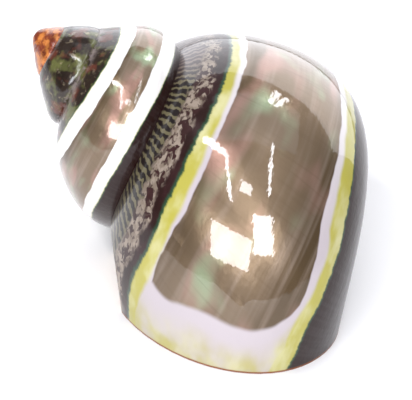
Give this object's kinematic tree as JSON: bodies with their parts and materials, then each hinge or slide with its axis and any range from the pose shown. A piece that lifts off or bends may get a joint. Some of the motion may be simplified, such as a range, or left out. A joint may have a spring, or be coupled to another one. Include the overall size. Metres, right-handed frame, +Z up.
{
  "type": "turban shell",
  "caption": "Polished turban shell with a raised spire, a banded pearly body whorl and an open hollow mouth that it rests on.",
  "frame": {"origin": "on the surface the shell rests on, under the middle of its bounding box", "axes": "+Z up, +X from the tip of the spire towards the base along the ground, +Y to the side away from the broad back of the body whorl's lip"},
  "size_m": [0.0426, 0.0394, 0.0274],
  "materials": {
    "shell": "gloss"
  },
  "bodies": {
    "root": {"shell": "shell"}
  },
  "joints": []
}
